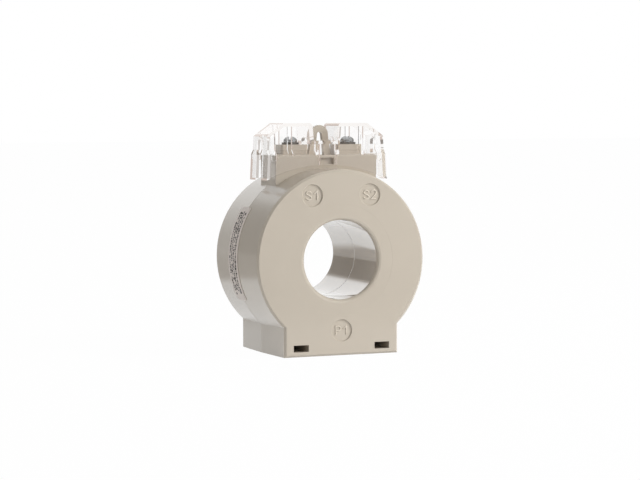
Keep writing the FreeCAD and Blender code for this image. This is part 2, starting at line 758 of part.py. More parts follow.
    window = new_sketch(body, "eye_window_outline", "XY_Plane", bridge_top)
    window_half = of_sheet("eye_foot_width") / 2
    window_depth = of_sheet("eye_thickness") / 2 + of_sheet("eye_window_gap")
    draw_rectangle(window, -window_half, window_half, -window_depth, window_depth)
    extrude(body, "Pocket", "eye_window", window, cover_wall)

    # Each side wall has an open slot for the wire, round at its top.
    wire_half = of_sheet("wire_slot_width") / 2
    wire_top = block_top + of_sheet("wire_slot_rise")
    wire_slot = new_sketch(body, "wire_slot_outline", "YZ_Plane")
    draw_outline(wire_slot, [(-wire_half, low), (wire_half, low), (wire_half, wire_top - wire_half),
                             (-wire_half, wire_top - wire_half)], {2: -wire_half})
    extrude(body, "Pocket", "wire_slots", wire_slot, side_bottom * 2, both_ways=True)

    # Each hood's front and rear walls have a narrow slot with a round foot and, by the corner, one round at both ends.
    probe_half = of_sheet("probe_slot_width") / 2
    corner_half = of_sheet("corner_slot_width") / 2
    corner_top = block_top + of_sheet("corner_slot_rise")
    slots = [
        ("probe_slot", of_sheet("probe_slot_position"), probe_half,
         block_top - of_sheet("probe_slot_drop"), top - cover_wall, {0: -probe_half}),
        ("corner_slot", side_top - cover_wall - corner_half, corner_half,
         block_top - of_sheet("corner_slot_drop"), corner_top - corner_half, {0: -corner_half, 2: -corner_half}),
    ]
    slot_depth = outer_half_depth - hood_inner
    for face_name, face_way in (("front", -1), ("rear", 1)):
        for slot_name, across, half, bottom, slot_top, arcs in slots:
            for name, side in SIDES:
                slot = new_sketch(body, "%s_%s_%s_outline" % (face_name, slot_name, name), "XZ_Plane",
                                  outer_half_depth * -face_way)
                middle = across * side
                draw_outline(slot, [(middle - half, bottom + half), (middle + half, bottom + half),
                                    (middle + half, slot_top), (middle - half, slot_top)], arcs)
                extrude(body, "Pocket", "%s_%s_%s" % (face_name, slot_name, name), slot, slot_depth,
                        reverse=face_way > 0)
    return body


# Core and winding: rings about the window's axis, each one layer inside the last
def ring_of(label, inner, outer, bottom, top):
    body = new_body(label)
    section = new_sketch(body, label + "_section", "XY_Plane")
    draw_rectangle(section, inner, outer, bottom, top)
    turn(body, "Revolution", label + "_turned", section, "V_Axis")
    return body


def hollow_ring_of(label, inner, outer, half_height, thickness):
    """Closed ring-shaped skin of the given thickness."""
    body = ring_of(label, inner, outer, -half_height, half_height)
    space = new_sketch(body, label + "_space_section", "XY_Plane")
    draw_rectangle(space, inner + thickness, outer - thickness, thickness - half_height, half_height - thickness)
    turn(body, "Groove", label + "_space", space, "V_Axis")
    return body


def build_core_and_winding():
    wrap = of_sheet("wrap_thickness")
    hollow_ring_of("winding_wrap", wrap_inner, wrap_outer, wrap_half_depth, wrap)

    inset = wrap + layer_gap
    winding = of_sheet("winding_thickness")
    inner, outer, half = wrap_inner + inset, wrap_outer - inset, wrap_half_depth - inset
    body = hollow_ring_of("secondary_winding", inner, outer, half, winding)
    groove = new_sketch(body, "turn_groove_section", "XY_Plane")
    groove_depth = of_sheet("turn_groove")
    draw_outline(groove, [(outer - groove_depth, -half), (outer, -half), (outer, half), (outer - groove_depth, half)])
    first = turn(body, "Groove", "turn_groove", groove, "V_Axis", FULL_TURN / TURNS / 4, both_ways=True)
    pattern = body.newObject("PartDesign::PolarPattern", "turn_grooves")
    pattern.Originals = [first]
    axis = [item for item in body.Origin.OriginFeatures if item.Role == "Y_Axis"][0]
    pattern.Axis = (axis, [""])
    pattern.Angle = FULL_TURN
    pattern.Occurrences = TURNS
    body.Tip = pattern

    cup = of_sheet("cup_wall")
    inset = winding + layer_gap
    inner, outer, half = inner + inset, outer - inset, half - inset
    for label, way in (("core_cup_front", -1), ("core_cup_rear", 1)):
        body = new_body(label)
        section = new_sketch(body, label + "_section", "XY_Plane")
        seam = layer_gap / 2 * way
        draw_outline(section, [
            (inner, seam), (inner + cup, seam), (inner + cup, (half - cup) * way),
            (outer - cup, (half - cup) * way), (outer - cup, seam), (outer, seam),
            (outer, half * way), (inner, half * way),
        ])
        turn(body, "Revolution", label + "_turned", section, "V_Axis")

    inset = cup + layer_gap
    ring_of("core", inner + inset, outer - inset, -(half - inset), half - inset)


# Side label: a thin curved sheet that follows the draft of both case halves over the seam
def build_label():
    body = new_body("side_label")
    half = of_sheet("label_width") / 2
    offset = of_sheet("label_offset")
    draft = of_sheet("ring_draft") / half_depth
    thickness = of_sheet("label_thickness")
    near_end, far_end = offset - half, offset + half

    seat_radius = seam_radius + of_sheet("label_gap")

    def radius_at(depth):
        return seat_radius - draft * depth

    section = new_sketch(body, "label_section", "XY_Plane")
    draw_outline(section, [
        (-radius_at(-near_end), near_end),
        (-seat_radius, as_size(0)),
        (-radius_at(far_end), far_end),
        (-(radius_at(far_end) + thickness), far_end),
        (-(seat_radius + thickness), as_size(0)),
        (-(radius_at(-near_end) + thickness), near_end),
    ])
    turn(body, "Revolution", "label_sheet", section, "V_Axis", of_sheet("label_angle").number, both_ways=True)

    def label_corner(edge):
        return near(edge.BoundBox.YLength, 0) and near(edge.Length, thickness.number)

    soften(body, "Fillet", "label_corners", of_sheet("label_corner_round"), label_corner)
    body.Placement = FreeCAD.Placement(FreeCAD.Vector(0, 0, 0),
                                       FreeCAD.Rotation(FreeCAD.Vector(0, 1, 0),
                                                        of_sheet("label_centre_angle").number))
    body.setExpression("Placement.Rotation.Angle", "sizes.label_centre_angle * 1 deg")


build_case("front_case", front=True)
build_case("rear_case", front=False)
build_carrier()
for terminal, terminal_side in SIDES:
    build_insert(terminal, terminal_side)
    build_tag(terminal, terminal_side)
    build_lead(terminal, terminal_side)
    build_washer(terminal, terminal_side)
    build_screw(terminal, terminal_side)
build_cover()
build_core_and_winding()
build_label()
doc.recompute()

# Nothing is written unless every object and every solid came out whole.
for item in doc.Objects:
    if "Invalid" in item.State or "Error" in item.State:
        raise RuntimeError("%s failed: %s" % (item.Name, item.State))
bodies = [item for item in doc.Objects if item.TypeId == "PartDesign::Body"]
for body in bodies:
    if body.Shape.isNull() or not body.Shape.isValid() or len(body.Shape.Solids) != 1:
        raise RuntimeError("%s is not one valid solid" % body.Label)

os.makedirs("parts", exist_ok=True)
for body in bodies:
    body.Shape.exportStep("parts/%s.step" % body.Label)
    print("%-22s %10.1f mm3" % (body.Label, body.Shape.Volume))
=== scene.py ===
import math
import random

import bpy
import bmesh
from mathutils import Matrix, Vector


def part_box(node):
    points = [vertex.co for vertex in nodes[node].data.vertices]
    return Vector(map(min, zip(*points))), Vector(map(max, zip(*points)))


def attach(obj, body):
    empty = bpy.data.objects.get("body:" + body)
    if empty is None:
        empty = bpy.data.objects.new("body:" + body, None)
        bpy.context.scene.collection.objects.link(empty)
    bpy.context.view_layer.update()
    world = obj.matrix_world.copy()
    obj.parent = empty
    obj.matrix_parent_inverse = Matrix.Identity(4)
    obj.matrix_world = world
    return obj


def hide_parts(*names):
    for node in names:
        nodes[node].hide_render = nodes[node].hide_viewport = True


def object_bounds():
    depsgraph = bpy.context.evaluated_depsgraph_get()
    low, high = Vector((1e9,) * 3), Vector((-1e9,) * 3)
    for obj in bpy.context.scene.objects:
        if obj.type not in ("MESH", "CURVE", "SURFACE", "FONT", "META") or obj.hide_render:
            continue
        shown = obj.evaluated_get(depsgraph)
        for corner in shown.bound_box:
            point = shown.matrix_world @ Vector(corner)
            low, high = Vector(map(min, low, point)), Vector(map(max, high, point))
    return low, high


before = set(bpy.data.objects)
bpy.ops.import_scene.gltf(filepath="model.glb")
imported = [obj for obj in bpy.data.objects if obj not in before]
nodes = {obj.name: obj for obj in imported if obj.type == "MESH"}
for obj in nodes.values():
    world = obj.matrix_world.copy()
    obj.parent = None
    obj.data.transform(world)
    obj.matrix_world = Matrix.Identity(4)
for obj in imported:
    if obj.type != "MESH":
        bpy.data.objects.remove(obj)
cad_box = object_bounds()
MM = 0.001

# Sizes of the part that the dressing follows, in millimetres
HALF_DEPTH = cad_box[1][1] / MM
FOOT_BOTTOM = cad_box[0][2] / MM
SEAM_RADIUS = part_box("front_case")[1][0] / MM
RING_DRAFT = 0.6
WINDOW_RADIUS = 14.0
WINDOW_WALL_END = 19.5
SURFACE_TOLERANCE = 0.02
SEAM_HALF_WIDTH = 0.16
WITNESS_RADIUS = 19.5
WITNESS_WIDTH = 0.35

# Raised letters: the middle of each mark disc on the front and rear faces, and the strokes
MARK_DEPTH = 0.5
FRONT_MARKS = (("S1", -11.0, 22.8), ("S2", 11.0, 22.8), ("P1", 0.0, -24.9))
REAR_MARK = ("P2", 0.0, -24.9)
CAP_HEIGHT = 3.0
LETTER_SHIFTS = (-1.3, 1.5)
STROKE_RADIUS = 0.22
STROKE_STRAIGHT = 0.02
STROKE_LIFT = 0.06
STROKE_ROUNDNESS = 3

# Side label: the paper, and its rows of dashes, with angles in degrees round the ring
PAPER_GAP = 0.05
PAPER_THICKNESS = 0.12
PAPER_MIDDLE = 1.85
PRINT_SEED = 11
PRINT_ANGLES = (-24.5, 30.5)
PRINT_INDENT = 5.0
ROW_COUNT = 4
ROW_PITCH = 1.75
DASH_LENGTHS = (0.4, 0.5, 0.7, 0.9)
DASH_HEIGHTS = (0.5, 0.7, 0.95, 1.15)
DASH_GAPS = (0.16, 0.2, 0.3)
DASH_SHIFT = 0.25
DASH_SHARE = 0.93
DASH_LIFTS = (-0.03, 0.012)

# Terminal screws, in millimetres up from the underside of the head, with the turn of each drive in degrees
SCREW_LENGTH = 6.0
SCREW_SEGMENTS = 48
TIP_RADIUS = 0.85
TIP_LENGTH = 0.1
THREAD_PITCH = 0.5
THREAD_CREST = 1.48
THREAD_ROOT = 1.2
THREAD_RUNOUT = 0.3
RINGS_PER_TURN = 8
HEAD_HEIGHT = 2.1
HEAD_RADIUS = 2.5
HEAD_UNDERSIDE_RADIUS = 2.38
HEAD_EDGE_HEIGHT = 0.06
HEAD_EDGE_RADIUS = 2.47
DOME_FOOT = 0.5
DOME_RINGS = 12
DOME_FULLNESS = 0.85
DRIVE_HALF_WIDTH = 0.42
DRIVE_SLOT_REACH = 2.8
DRIVE_ARM_REACH = 1.4
DRIVE_FLOOR = 1.05
DRIVE_TOP = 2.6
DRIVE_TURNS = {"s1": 62, "s2": 80}
SHARP_ANGLE = 35

# The studio: a white backdrop behind the part, up to a height and width given as world directions,
# in surroundings that are dim and a little warm.
AMBIENT = 0.46
AMBIENT_COLOUR = (0.98, 0.99, 1.0, 1.0)
WHITE = (1.0, 1.0, 1.0, 1.0)
STUDIO_TONE = 0.27
DIM_COLOUR = (1.0, 0.89, 0.795, 1.0)
BACKDROP_WAY = (0.389, 0.921, 0.0)
BACKDROP_SIDE = (0.73, 0.81)
BACKDROP_TOP = (0.6, 0.45)

# The white table: half its side in metres, and the gap under the foot in millimetres. In reflections it ends
# a little way round the part, as radii in metres, except behind it.
TABLE_HALF = 6.0
TABLE_GAP = 0.02
TABLE_COLOUR = (0.85, 0.85, 0.85, 1.0)
TABLE_GLOW_SHARE = 0.985
TABLE_EDGE = (0.17, 0.12)
TABLE_FAR_TONE = 0.48

# Seen by reflection through the clear cover, the studio is dim at the sides and bright overhead, and dimmer
# still for the screws, which show it through two walls. The pale glow is painted on the cover's edges.
SIDE_TONE = 0.62
SCREW_SIDE_TONE = 0.08
OVERHEAD = (0.3, 0.75)
PAINTED_EDGE_GLOW = (0.66, 0.57, 0.52, 1.0)

# A white card in front, off to the right. Only the clear plates mirror it, so that they look as bright as
# the backdrop behind them.
CARD_WAY = (0.389, -0.919, -0.06)
CARD_EDGE = (0.955, 0.975)
CARD_TONE = 0.97

# Limits on how often a ray has met something. The counts are whole, so each limit lies between two of them.
FIRST_MEETING = 0.5
SCREW_WALLS = (3.4, 3.6)
EDGE_DEPTH = 5.5

# Lamps: places and sides in metres, powers in watts. Reflections show a white patch where the key lamp is.
KEY_PLACE = (0.55, -0.42, 0.32)
KEY_POWER = 4.35
KEY_SIZE = 0.3
KEY_PATCH = (0.82, 0.9)
BACK_PLACE = (0.2, 1.0, 0.45)
BACK_POWER = 0.4
BACK_SIZE = 0.8

# The camera that was fitted to the photograph: its lens in millimetres, its place in metres and its axes
CAMERA_LENS = 118.75
CAMERA_SENSOR = 36.0
CAMERA_CLIP = (0.01, 20.0)
CAMERA_PLACE = (-0.29491, -0.69971, 0.05064)
CAMERA_RIGHT = (0.921189, -0.389103, -0.003205)
CAMERA_UP = (0.025828, 0.052922, 0.998265)
CAMERA_FORWARD = (0.388258, 0.919673, -0.058801)


# Shader nodes
def feed(socket, value):
    """Links an output to an input socket, or writes a plain value into it."""
    if isinstance(value, bpy.types.NodeSocket):
        socket.id_data.links.new(value, socket)
    else:
        socket.default_value = value


def set_inputs(node, values):
    for name, value in values.items():
        feed(node.inputs[name], value)


def node_of_type(tree, kind):
    return next(node for node in tree.nodes if node.type == kind)


def math_node(tree, operation, *values, clamp=False):
    node = tree.nodes.new("ShaderNodeMath")
    node.operation = operation
    node.use_clamp = clamp
    for socket, value in zip(node.inputs, values):
        feed(socket, value)
    return node.outputs["Value"]


def vector_node(tree, operation, *values, output="Vector"):
    node = tree.nodes.new("ShaderNodeVectorMath")
    node.operation = operation
    for socket, value in zip(node.inputs, values):
        feed(socket, value)
    return node.outputs[output]


def along(tree, direction, way):
    """How far a direction points one way, as the cosine between them."""
    return vector_node(tree, "DOT_PRODUCT", direction, way, output="Value")


def map_range(tree, value, start, end, low=0.0, high=1.0, smooth=True):
    """Runs from low at start to high at end."""
    node = tree.nodes.new("ShaderNodeMapRange")
    node.clamp = True
    node.interpolation_type = "SMOOTHSTEP" if smooth else "LINEAR"
    set_inputs(node, {"Value": value, "From Min": start, "From Max": end, "To Min": low, "To Max": high})
    return node.outputs["Result"]


def mix_node(tree, kind, factor, first, second):
    """Mixes two values, kind Float, or two colours, kind Color, as the node calls its sockets."""
    node = tree.nodes.new("ShaderNodeMix")
    node.data_type = {"Float": "FLOAT", "Color": "RGBA"}[kind]
    sockets = {socket.identifier: socket for socket in node.inputs}
    feed(sockets["Factor_Float"], factor)
    feed(sockets["A_" + kind], first)
    feed(sockets["B_" + kind], second)
    return next(socket for socket in node.outputs if socket.identifier == "Result_" + kind)


def mix_shaders(tree, factor, first, second):
    node = tree.nodes.new("ShaderNodeMixShader")
    feed(node.inputs["Fac"], factor)
    feed(node.inputs[1], first)
    feed(node.inputs[2], second)
    return node.outputs["Shader"]


def separate(tree, vector, axis):
    node = tree.nodes.new("ShaderNodeSeparateXYZ")
    feed(node.inputs["Vector"], vector)
    return node.outputs[axis]


def object_place(tree):
    return tree.nodes.new("ShaderNodeTexCoord").outputs["Object"]


def noise(tree, scale, detail=3.0):
    node = tree.nodes.new("ShaderNodeTexNoise")
    set_inputs(node, {"Vector": object_place(tree), "Scale": scale, "Detail": detail, "Roughness": 0.55})
    return node.outputs["Fac"]


def bump(tree, height, strength, distance, below=None):
    """Bump of a distance in millimetres, on top of the one below where there is one."""
    node = tree.nodes.new("ShaderNodeBump")
    set_inputs(node, {"Height": height, "Strength": strength, "Distance": distance * MM})
    if below is not None:
        feed(node.inputs["Normal"], below)
    return node.outputs["Normal"]


def light_path(tree, output):
    """What Light Path says of the ray, as whether it is of a kind or how often it has met something."""
    return tree.nodes.new("ShaderNodeLightPath").outputs[output]


def any_ray(tree, *kinds):
    """One where the ray is of any of these kinds, as Light Path calls them."""
    total = light_path(tree, kinds[0])
    for kind in kinds[1:]:
        total = math_node(tree, "ADD", total, light_path(tree, kind), clamp=True)
    return total


def before_diffuse(tree, fraction):
    """The fraction kept only where the ray hasn't met a matt surface, so that the white lights nothing."""
    direct = math_node(tree, "LESS_THAN", light_path(tree, "Diffuse Depth"), FIRST_MEETING)
    return math_node(tree, "MULTIPLY", fraction, direct)


def warm_where_dim(tree, tone):
    """White at full tone, and the warmer the dimmer the surroundings are."""
    return mix_node(tree, "Color", tone, DIM_COLOUR, WHITE)


# Materials
def srgb(red, green, blue):
    """Linear colour from 0-255 display values."""
    def linear(value):
        value = value / 255
        return value / 12.92 if value <= 0.04045 else ((value + 0.055) / 1.055) ** 2.4
    return (linear(red), linear(green), linear(blue), 1.0)


CASE_COLOUR = srgb(203, 193, 178)


def new_material(name):
    material = bpy.data.materials.new(name)
    material.use_nodes = True
    tree = material.node_tree
    return material, tree, node_of_type(tree, "BSDF_PRINCIPLED")


def patchy_colour(tree, colour, amount, scale):
    """Very slight patchiness of a colour."""
    ramp = tree.nodes.new("ShaderNodeValToRGB")
    ends = ((0.3, 1 - amount), (0.7, 1 + amount))
    for element, (position, factor) in zip(ramp.color_ramp.elements, ends):
        element.position = position
        element.color = [min(1.0, channel * factor) for channel in colour[:3]] + [1.0]
    feed(ramp.inputs["Fac"], noise(tree, scale))
    return ramp.outputs["Color"]


def case_material():
    """Satin moulded plastic with fine grain, and a faint line of the mould round the cable window."""
    material, tree, shader = new_material("case_plastic")
    flat_place = vector_node(tree, "MULTIPLY", object_place(tree), (1.0, 0.0, 1.0))
    radius = vector_node(tree, "LENGTH", flat_place, output="Value")
    line = map_range(tree, radius, WITNESS_RADIUS * MM, (WITNESS_RADIUS + WITNESS_WIDTH) * MM)
    witness = bump(tree, line, strength=0.5, distance=0.05)
    grain = bump(tree, noise(tree, scale=2600.0, detail=2.0), strength=0.06, distance=0.04, below=witness)
    set_inputs(shader, {"Base Color": CASE_COLOUR, "Roughness": 0.24, "IOR": 1.66,
                        "Specular Tint": (1.0, 0.93, 0.86, 1.0),
                        "Coat Weight": 0.55, "Coat Roughness": 0.12, "Coat IOR": 1.5, "Normal": grain})
    feed(shader.inputs["Base Color"], patchy_colour(tree, CASE_COLOUR, amount=0.012, scale=60.0))
    return material


def window_material():
    """The polished wall of the cable window, with the hair line where the halves of the case meet."""
    material, tree, shader = new_material("case_plastic_polished")
    from_seam = math_node(tree, "ABSOLUTE", separate(tree, object_place(tree), "Y"))
    wall = map_range(tree, from_seam, 0.0, SEAM_HALF_WIDTH * MM, smooth=False)
    groove = bump(tree, wall, strength=1.0, distance=0.1)
    set_inputs(shader, {"Base Color": CASE_COLOUR, "Roughness": 0.05, "IOR": 2.6,
                        "Specular Tint": (1.0, 0.97, 0.94, 1.0),
                        "Coat Weight": 1.0, "Coat Roughness": 0.03, "Coat IOR": 2.6,
                        "Normal": groove, "Coat Normal": groove})
    return material


def clear_material():
    """Clear plastic with a painted pale glow at its edges, which casts hardly any shadow."""
    material, tree, shader = new_material("cover_clear_plastic")
    set_inputs(shader, {"Base Color": WHITE, "Roughness": 0.0, "IOR": 1.5, "Transmission Weight": 1.0})

    # Where a ray has met more than EDGE_DEPTH surfaces, the cover shows a painted pale glow instead, so the
    # edges don't end black.
    glow = tree.nodes.new("ShaderNodeEmission")
    glow.inputs["Color"].default_value = PAINTED_EDGE_GLOW
    far = math_node(tree, "GREATER_THAN", light_path(tree, "Ray Depth"), EDGE_DEPTH)
    with_painted_glow = mix_shaders(tree, far, shader.outputs["BSDF"], glow.outputs["Emission"])

    # Lamp light goes straight through the thin walls.
    straight = tree.nodes.new("ShaderNodeBsdfTransparent")
    straight.inputs["Color"].default_value = (0.93, 0.92, 0.91, 1.0)
    lit = mix_shaders(tree, light_path(tree, "Is Shadow Ray"), with_painted_glow, straight.outputs["BSDF"])

    absorb = tree.nodes.new("ShaderNodeVolumeAbsorption")
    set_inputs(absorb, {"Color": (0.80, 0.70, 0.62, 1.0), "Density": 22.0})
    set_inputs(node_of_type(tree, "OUTPUT_MATERIAL"), {"Surface": lit, "Volume": absorb.outputs["Volume"]})
    return material


def metal_material(name, colour, roughness, scratch):
    material, tree, shader = new_material(name)
    scratches = bump(tree, noise(tree, scale=900.0, detail=4.0), scratch, distance=0.06)
    set_inputs(shader, {"Base Color": colour, "Metallic": 1.0, "Roughness": roughness, "Normal": scratches})
    return material


def plain_material(name, colour, roughness, grain=0.0, grain_scale=1200.0):
    material, tree, shader = new_material(name)
    set_inputs(shader, {"Base Color": colour, "Roughness": roughness})
    if grain:
        feed(shader.inputs["Normal"], bump(tree, noise(tree, grain_scale), grain, distance=0.05))
    return material


case_plastic = case_material()
case_polished = window_material()
# The raised letters take the case plastic lightened: a painted highlight on their strokes.
mark_plastic_painted_highlight = plain_material("mark_plastic_painted_highlight", srgb(222, 212, 197), roughness=0.3, grain=0.05)
clear_plastic = clear_material()
zinc = metal_material("zinc_plate", srgb(163, 165, 166), roughness=0.1, scratch=0.45)
# The washers take the zinc plate darkened: painted shade under the screw heads.
zinc_washer_painted_shade = metal_material("zinc_plate_washer_painted_shade", srgb(112, 107, 100), roughness=0.3, scratch=0.2)
brass = metal_material("brass_insert", srgb(196, 160, 92), roughness=0.3, scratch=0.1)
tin = metal_material("tinned_tag", srgb(190, 190, 192), roughness=0.3, scratch=0.1)
core_steel = metal_material("core_strip", srgb(96, 97, 102), roughness=0.42, scratch=0.3)
copper = metal_material("enamelled_copper", srgb(176, 96, 52), roughness=0.28, scratch=0.1)
cup_black = plain_material("cup_plastic", srgb(44, 44, 46), roughness=0.5, grain=0.1)
tape = plain_material("wrap_tape", srgb(214, 190, 104), roughness=0.32, grain=0.15, grain_scale=500.0)
sleeve = plain_material("lead_sleeve", srgb(150, 44, 36), roughness=0.45)
label_paper = plain_material("label_paper", srgb(240, 228, 219), roughness=0.42, grain=0.05)
print_ink = plain_material("label_ink", srgb(30, 27, 26), roughness=0.75)

# Every node but the terminal screws, which the screws below replace
NODE_MATERIALS = {
    "front_case": case_plastic, "rear_case": case_plastic, "terminal_carrier": case_plastic,
    "terminal_cover": clear_plastic,
    "clamp_washer_s1": zinc_washer_painted_shade, "clamp_washer_s2": zinc_washer_painted_shade,
    "terminal_insert_s1": brass, "terminal_insert_s2": brass,
    "solder_tag_s1": tin, "solder_tag_s2": tin,
    "lead_s1": sleeve, "lead_s2": sleeve,
    "core": core_steel, "core_cup_front": cup_black, "core_cup_rear": cup_black,
    "secondary_winding": copper, "winding_wrap": tape, "side_label": label_paper,
}


def dress_node(node_name, material):
    mesh = nodes[node_name].data
    for index in range(len(mesh.materials)):
        mesh.materials[index] = material
    if not mesh.materials:
        mesh.materials.append(material)


def polish_window(node_name):
    """The window's wall takes the polished finish by a second material slot on the case mesh."""
    mesh = nodes[node_name].data
    mesh.materials.append(case_polished)
    slot_index = len(mesh.materials) - 1
    for face in mesh.polygons:
        centre = face.center
        on_wall = math.hypot(centre.x, centre.z) < (WINDOW_RADIUS + SURFACE_TOLERANCE) * MM
        if on_wall and abs(centre.y) < WINDOW_WALL_END * MM:
            face.material_index = slot_index


for dressed_node, node_material in NODE_MATERIALS.items():
    dress_node(dressed_node, node_material)
for case_node in ("front_case", "rear_case"):
    polish_window(case_node)


# Pieces
def add_object(name, data):
    item = bpy.data.objects.new(name, data)
    bpy.context.collection.objects.link(item)
    return item


def add_solids(name, solids):
    """Object of closed solids, each skinned over loops of points in millimetres, from the lowest up."""
    builder = bmesh.new()
    for loops in solids:
        rings = [[builder.verts.new([value * MM for value in point]) for point in loop] for loop in loops]
        builder.faces.new(list(reversed(rings[0])))
        builder.faces.new(rings[-1])
        for lower, upper in zip(rings, rings[1:]):
            for index in range(len(lower)):
                following = (index + 1) % len(lower)
                builder.faces.new((lower[index], lower[following], upper[following], upper[index]))
    bmesh.ops.recalc_face_normals(builder, faces=builder.faces)
    mesh = bpy.data.meshes.new(name)
    builder.to_mesh(mesh)
    builder.free()
    return add_object(name, mesh)


# Terminal screws with a domed head, a slot with cross arms, and a real thread
def thread_radius(height, turn):
    """Radius at a height and a fraction of a turn. The tip's bevel cuts the first thread."""
    phase = (height / THREAD_PITCH - turn) % 1.0
    thread = THREAD_ROOT + (THREAD_CREST - THREAD_ROOT) * (1 - abs(2 * phase - 1))
    bevel = TIP_RADIUS + TIP_LENGTH + SCREW_LENGTH + height
    return min(thread, bevel)


def screw_ring(height, radius=None):
    """Loop of points of one radius, or along the thread where none is given."""
    points = []
    for step in range(SCREW_SEGMENTS):
        turn = step / SCREW_SEGMENTS
        reach = thread_radius(height, turn) if radius is None else radius
        points.append((reach * math.cos(2 * math.pi * turn), reach * math.sin(2 * math.pi * turn), height))
    return points


def screw_rings():
    """Loops from the tip to the crown."""
    rings = [screw_ring(-SCREW_LENGTH, TIP_RADIUS)]
    thread_start = TIP_LENGTH - SCREW_LENGTH
    thread_turns = (-THREAD_RUNOUT - thread_start) / THREAD_PITCH
    for index in range(int(thread_turns * RINGS_PER_TURN) + 1):
        rings.append(screw_ring(thread_start + index * THREAD_PITCH / RINGS_PER_TURN))
    rings.append(screw_ring(-THREAD_RUNOUT / 2, THREAD_ROOT))
    rings.append(screw_ring(0.0, THREAD_ROOT))
    rings.append(screw_ring(0.0, HEAD_UNDERSIDE_RADIUS))
    rings.append(screw_ring(HEAD_EDGE_HEIGHT, HEAD_EDGE_RADIUS))
    for index in range(DOME_RINGS):
        swing = math.radians(90) * index / DOME_RINGS
        rings.append(screw_ring(DOME_FOOT + (HEAD_HEIGHT - DOME_FOOT) * math.sin(swing),
                                HEAD_RADIUS * math.cos(swing) ** DOME_FULLNESS))
    return rings


def drive_loops():
    """Plus-shaped prism: a slot across the head, with shorter cross arms."""
    half, reach, arm = DRIVE_HALF_WIDTH, DRIVE_SLOT_REACH, DRIVE_ARM_REACH
    right_side = [(half, -arm), (half, -half), (reach, -half), (reach, half), (half, half), (half, arm)]
    outline = right_side + [(-x, -y) for x, y in right_side]
    return [[(x, y, height) for x, y in outline] for height in (DRIVE_FLOOR, DRIVE_TOP)]


def add_screw(side, drive_turn):
    """Stands where the plain solid screw is, with the same length and head size."""
    node_name = "terminal_screw_" + side
    low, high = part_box(node_name)
    screw = add_solids("screw_" + side, [screw_rings()])
    cutter = add_solids("drive_cutter", [drive_loops()])
    cut = screw.modifiers.new("drive", "BOOLEAN")
    cut.operation = "DIFFERENCE"
    cut.object = cutter
    shaped = bpy.data.meshes.new_from_object(screw.evaluated_get(bpy.context.evaluated_depsgraph_get()))
    screw.modifiers.clear()
    screw.data = shaped
    bpy.data.objects.remove(cutter)
    shaped.name = "screw_" + side
    seat = ((low[0] + high[0]) / 2, (low[1] + high[1]) / 2, high[2] - HEAD_HEIGHT * MM)
    shaped.transform(Matrix.Translation(seat) @ Matrix.Rotation(math.radians(drive_turn), 4, "Z"))
    for face in shaped.polygons:
        face.use_smooth = True
    shaped.set_sharp_from_angle(angle=math.radians(SHARP_ANGLE))
    shaped.materials.clear()
    shaped.materials.append(zinc)
    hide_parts(node_name)
    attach(screw, "screw_" + side)


for screw_side, screw_turn in DRIVE_TURNS.items():
    add_screw(screw_side, screw_turn)


# Raised letters on the mark discs, as centre lines in cap heights from the middle of each letter
STROKES = {
    "1": ((-0.25, 0.2), (-0.06, 0.33), (0.12, 0.5), (0.12, -0.5)),
    "2": ((-0.3, 0.24), (-0.24, 0.41), (-0.08, 0.5), (0.1, 0.5), (0.26, 0.4), (0.31, 0.22), (0.23, 0.04),
          (-0.32, -0.5), (0.33, -0.5)),
    "P": ((-0.3, -0.5), (-0.3, 0.5), (0.07, 0.5), (0.23, 0.44), (0.32, 0.31), (0.32, 0.15), (0.23, 0.02),
          (0.07, -0.04), (-0.3, -0.04)),
    "S": ((0.3, 0.29), (0.21, 0.43), (0.03, 0.5), (-0.15, 0.47), (-0.29, 0.35), (-0.29, 0.19), (-0.16, 0.07),
          (0.1, -0.03), (0.27, -0.13), (0.33, -0.27), (0.24, -0.42), (0.04, -0.5), (-0.18, -0.46),
          (-0.33, -0.28)),
}


def add_mark(text, across, up, front=True):
    curve = bpy.data.curves.new("mark_" + text, "CURVE")
    curve.dimensions = "2D"
    curve.fill_mode = "NONE"
    for letter, shift in zip(text, LETTER_SHIFTS):
        points = STROKES[letter]
        spline = curve.splines.new("POLY")
        spline.points.add(len(points) - 1)
        for point, (x, y) in zip(spline.points, points):
            point.co = ((x * CAP_HEIGHT + shift) * MM, y * CAP_HEIGHT * MM, 0.0, 1.0)
    curve.extrude = STROKE_STRAIGHT * MM
    curve.bevel_depth = STROKE_RADIUS * MM
    curve.bevel_resolution = STROKE_ROUNDNESS
    curve.use_fill_caps = True
    mark = add_object("mark_" + text, curve)
    from_seam = (HALF_DEPTH - MARK_DEPTH + STROKE_LIFT) * MM
    upright = Matrix.Rotation(math.radians(90), 4, "X")
    if front:
        mark.matrix_world = Matrix.Translation((across * MM, -from_seam, up * MM)) @ upright
    else:
        turned = Matrix.Rotation(math.radians(180), 4, "Z")
        mark.matrix_world = Matrix.Translation((across * MM, from_seam, up * MM)) @ turned @ upright
    # The strokes take the lightened plastic, a painted highlight.
    curve.materials.append(mark_plastic_painted_highlight)
    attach(mark, "case")


for front_mark in FRONT_MARKS:
    add_mark(*front_mark)
add_mark(*REAR_MARK, front=False)


# Rows of plain dashes on the side label
def paper_radius(y):
    """From the ring's axis to the outer face of the paper, at a depth y."""
    return SEAM_RADIUS - RING_DRAFT * abs(y) / HALF_DEPTH + PAPER_GAP + PAPER_THICKNESS


def dash_loops(angle, swing, middle, height):
    """Box on the paper, from an angle through a swing, in radians."""
    loops = []
    for lift in DASH_LIFTS:
        loop = []
        for turn, side in ((0, -1), (swing, -1), (swing, 1), (0, 1)):
            y = middle + side * height / 2
            reach = paper_radius(y) + lift
            loop.append((-reach * math.cos(angle + turn), y, reach * math.sin(angle + turn)))
        loops.append(loop)
    return loops


